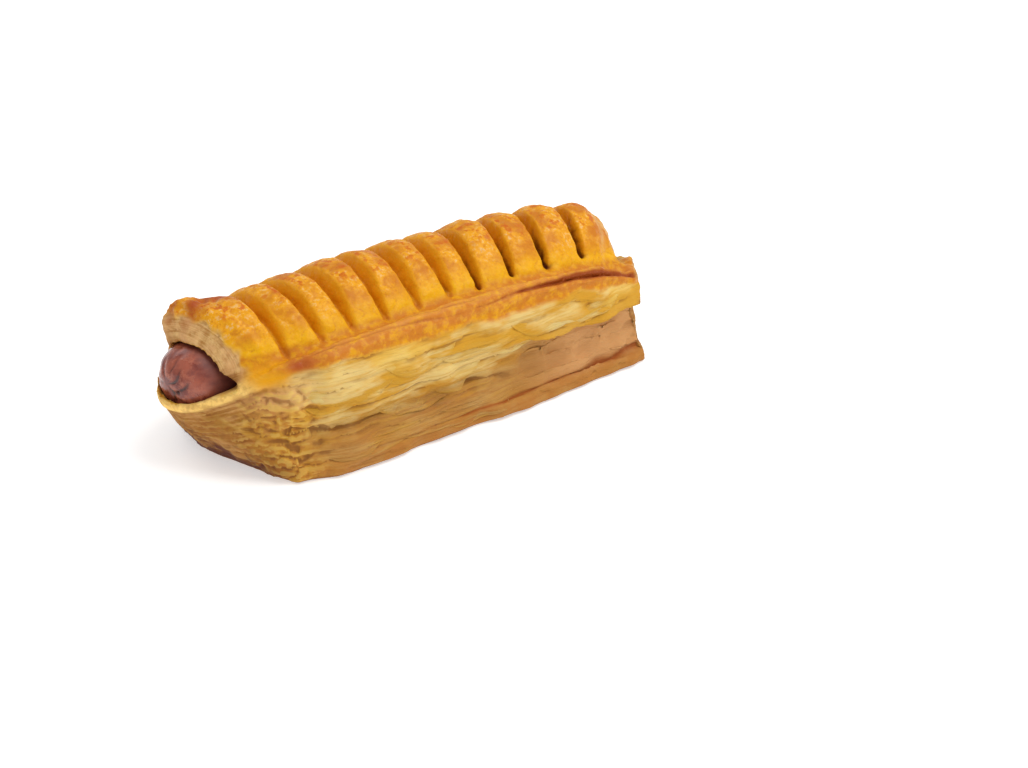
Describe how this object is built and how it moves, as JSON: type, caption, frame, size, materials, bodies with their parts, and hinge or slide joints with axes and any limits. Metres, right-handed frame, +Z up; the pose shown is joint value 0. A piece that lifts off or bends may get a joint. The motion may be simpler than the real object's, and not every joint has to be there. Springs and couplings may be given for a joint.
{
  "type": "sausage roll",
  "caption": "Frankfurter baked in folded puff pastry: slits across the domed top, a pressed seam along one side and flaky layered sides, with the sausage showing at both open ends.",
  "frame": {"origin": "under the middle of the roll's length and width, on the surface it rests on", "axes": "+X runs along the roll towards the end whose slits go right through, +Y points to the folded side, -Y to the side with the pressed seam, +Z up"},
  "size_m": [0.1616, 0.0664, 0.0487],
  "materials": {
    "pastry": "baked flaky pastry with an egg glaze on its top, half matt",
    "sausage": "glossy cooked sausage skin"
  },
  "bodies": {
    "root": {"pastry": "pastry", "sausage": "sausage"}
  },
  "joints": []
}
